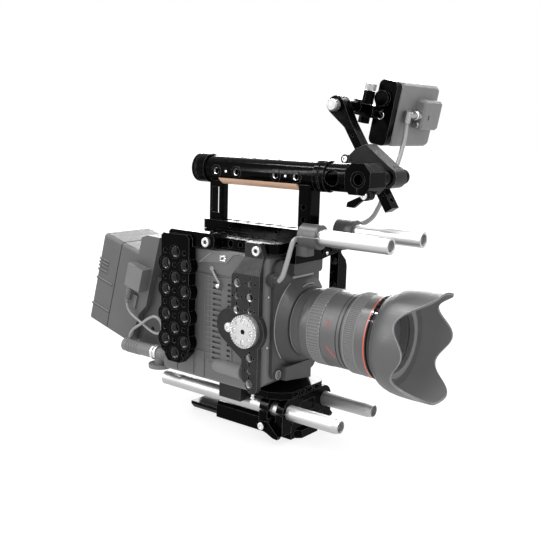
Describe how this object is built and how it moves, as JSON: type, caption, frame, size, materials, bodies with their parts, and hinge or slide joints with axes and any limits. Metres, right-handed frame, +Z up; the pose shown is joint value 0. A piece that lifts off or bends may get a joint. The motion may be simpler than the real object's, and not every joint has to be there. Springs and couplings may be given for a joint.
{
  "type": "cinema camera rig",
  "caption": "Cinema camera in a black cage with top handle, dovetail base, support rods, zoom lens with petal hood, tilted battery and a monitor on an adjustable arm.",
  "frame": {"origin": "centre of the tripod thread on the underside of the dovetail plate", "axes": "+X the way the lens points, +Y the operator's left, +Z up"},
  "size_m": [0.4332, 0.26, 0.3558],
  "materials": {
    "black_anodised": "satin black anodised",
    "grey_anodised": "grey anodised",
    "grey_plastic": "grey moulded casing",
    "lens_black": "fine matt grey",
    "ring_rubber": "ribbed rubber",
    "accent_orange": "orange-red gloss",
    "lens_glass": "coated glass",
    "screen_glass": "dark screen glass",
    "bright_aluminium": "bright aluminium",
    "steel": "plated steel",
    "wood": "oiled wood",
    "plug_plastic": "moulded plug",
    "cable_rubber": "grey cable jacket"
  },
  "bodies": {
    "base": {"dovetail_plate": "black_anodised"},
    "rig": {"receiver": "black_anodised", "rod_bracket": "black_anodised", "camera_plate": "black_anodised", "rear_rod_block": "black_anodised", "camera_body": "grey_plastic", "camera_front": "grey_plastic", "vent_grille": "grey_plastic", "lens_barrel": "lens_black", "lens_band": "lens_black", "lens_front_rim": "lens_black", "lens_accent_ring": "accent_orange", "front_element": "lens_glass", "top_plate": "black_anodised", "right_side_plate": "black_anodised", "left_side_plate": "black_anodised", "honeycomb_plate": "black_anodised", "rosette": "bright_aluminium", "cage_screws": "steel", "handle_base": "black_anodised", "handle_post_front": "black_anodised", "handle_post_rear": "black_anodised", "handle_grip": "black_anodised", "handle_insert": "wood", "handle_rear_cap": "black_anodised", "handle_clamp_head": "black_anodised", "upper_rod_bracket": "black_anodised", "upper_rod_clamp": "grey_anodised", "battery_bracket": "grey_anodised", "battery_plate": "grey_plastic", "dtap_plug": "plug_plastic", "power_cable": "cable_rubber", "power_plug": "plug_plastic", "monitor_cable_4": "cable_rubber"},
    "base_lever": {"base_lever": "black_anodised"},
    "base_lever_left": {"base_lever_left": "black_anodised"},
    "lower_rod_right": {"lower_rod_right": "bright_aluminium"},
    "lower_rod_left": {"lower_rod_left": "bright_aluminium"},
    "upper_rod_right": {"upper_rod_right": "bright_aluminium"},
    "upper_rod_left": {"upper_rod_left": "bright_aluminium"},
    "zoom_ring": {"zoom_ring": "ring_rubber"},
    "focus_ring": {"focus_ring": "ring_rubber"},
    "lens_hood": {"lens_hood": "lens_black"},
    "record_button": {"record_button": "grey_plastic"},
    "battery": {"battery_case": "grey_plastic"},
    "battery_release": {"battery_release": "grey_plastic"},
    "rod_lock_lever": {"rod_lock_lever": "black_anodised"},
    "cross_rod": {"cross_rod": "black_anodised", "monitor_cable_3": "cable_rubber"},
    "clamp_block": {"arm_clamp_block": "black_anodised", "monitor_cable_2": "cable_rubber"},
    "arm": {"monitor_arm": "black_anodised", "monitor_cable_1": "cable_rubber"},
    "tilt_knob": {"tilt_knob": "bright_aluminium"},
    "monitor": {"swivel_block": "black_anodised", "monitor_bracket": "black_anodised", "monitor_housing": "grey_plastic", "monitor_screen": "screen_glass", "monitor_plug": "steel"},
    "swivel_knob": {"swivel_knob": "bright_aluminium"}
  },
  "joints": [
    {"name": "base_slide", "type": "slide", "parent": "base", "child": "rig", "axis": [1, 0, 0], "range_m": [-0.025, 0.004]},
    {"name": "base_lever_turn", "type": "hinge", "parent": "rig", "child": "base_lever", "pos_m": [0.0465, -0.045, 0.0165], "axis": [0, -1, 0], "range_deg": [0, 110]},
    {"name": "base_lever_left_turn", "type": "hinge", "parent": "rig", "child": "base_lever_left", "pos_m": [0.0465, 0.045, 0.0165], "axis": [0, -1, 0], "range_deg": [0, 110]},
    {"name": "lower_rod_right_slide", "type": "slide", "parent": "rig", "child": "lower_rod_right", "axis": [1, 0, 0], "range_m": [-0.03, 0.04]},
    {"name": "lower_rod_left_slide", "type": "slide", "parent": "rig", "child": "lower_rod_left", "axis": [1, 0, 0], "range_m": [-0.03, 0.04]},
    {"name": "upper_rod_right_slide", "type": "slide", "parent": "rig", "child": "upper_rod_right", "axis": [1, 0, 0], "range_m": [0, 0.04]},
    {"name": "upper_rod_left_slide", "type": "slide", "parent": "rig", "child": "upper_rod_left", "axis": [1, 0, 0], "range_m": [0, 0.04]},
    {"name": "zoom_turn", "type": "hinge", "parent": "rig", "child": "zoom_ring", "pos_m": [0.095, 0, 0.116], "axis": [1, 0, 0], "range_deg": [-35, 35]},
    {"name": "focus_turn", "type": "hinge", "parent": "rig", "child": "focus_ring", "pos_m": [0.135, 0, 0.116], "axis": [1, 0, 0], "range_deg": [-60, 60]},
    {"name": "hood_turn", "type": "hinge", "parent": "rig", "child": "lens_hood", "pos_m": [0.165, 0, 0.116], "axis": [1, 0, 0], "range_deg": [0, 60]},
    {"name": "record_press", "type": "slide", "parent": "rig", "child": "record_button", "axis": [-1, 0, 0], "range_m": [0, 0.0012], "stiffness_N_per_m": 600},
    {"name": "battery_lift", "type": "slide", "parent": "rig", "child": "battery", "axis": [0.2588, 0, 0.9659], "range_m": [0, 0.08]},
    {"name": "battery_release_press", "type": "slide", "parent": "rig", "child": "battery_release", "axis": [0, 1, 0], "range_m": [0, 0.0018], "stiffness_N_per_m": 600},
    {"name": "rod_lock_turn", "type": "hinge", "parent": "rig", "child": "rod_lock_lever", "pos_m": [0.128, 0, 0.246], "axis": [0, -1, 0], "range_deg": [0, 80]},
    {"name": "cross_rod_slide", "type": "slide", "parent": "rig", "child": "cross_rod", "axis": [0, 1, 0], "range_m": [-0.003, 0.012], "deforming": ["monitor_cable_4"]},
    {"name": "arm_block_swing", "type": "hinge", "parent": "cross_rod", "child": "clamp_block", "pos_m": [0.122, 0.048, 0.26], "axis": [0, 1, 0], "range_deg": [-20, 25], "deforming": ["monitor_cable_3"]},
    {"name": "arm_slide", "type": "slide", "parent": "clamp_block", "child": "arm", "axis": [-0.5373, 0, 0.8434], "range_m": [-0.015, 0.025], "deforming": ["monitor_cable_2"]},
    {"name": "tilt_knob_turn", "type": "hinge", "parent": "arm", "child": "tilt_knob", "pos_m": [0.05822, 0.048, 0.32765], "axis": [0, 1, 0], "continuous": true},
    {"name": "monitor_tilt", "type": "hinge", "parent": "arm", "child": "monitor", "pos_m": [0.05822, 0.086, 0.32765], "axis": [0, 1, 0], "range_deg": [-25, 40], "deforming": ["monitor_cable_1"]},
    {"name": "swivel_knob_turn", "type": "hinge", "parent": "monitor", "child": "swivel_knob", "pos_m": [0.06937, 0.0865, 0.34389], "axis": [0.1822, 0, 0.9833], "continuous": true}
  ]
}
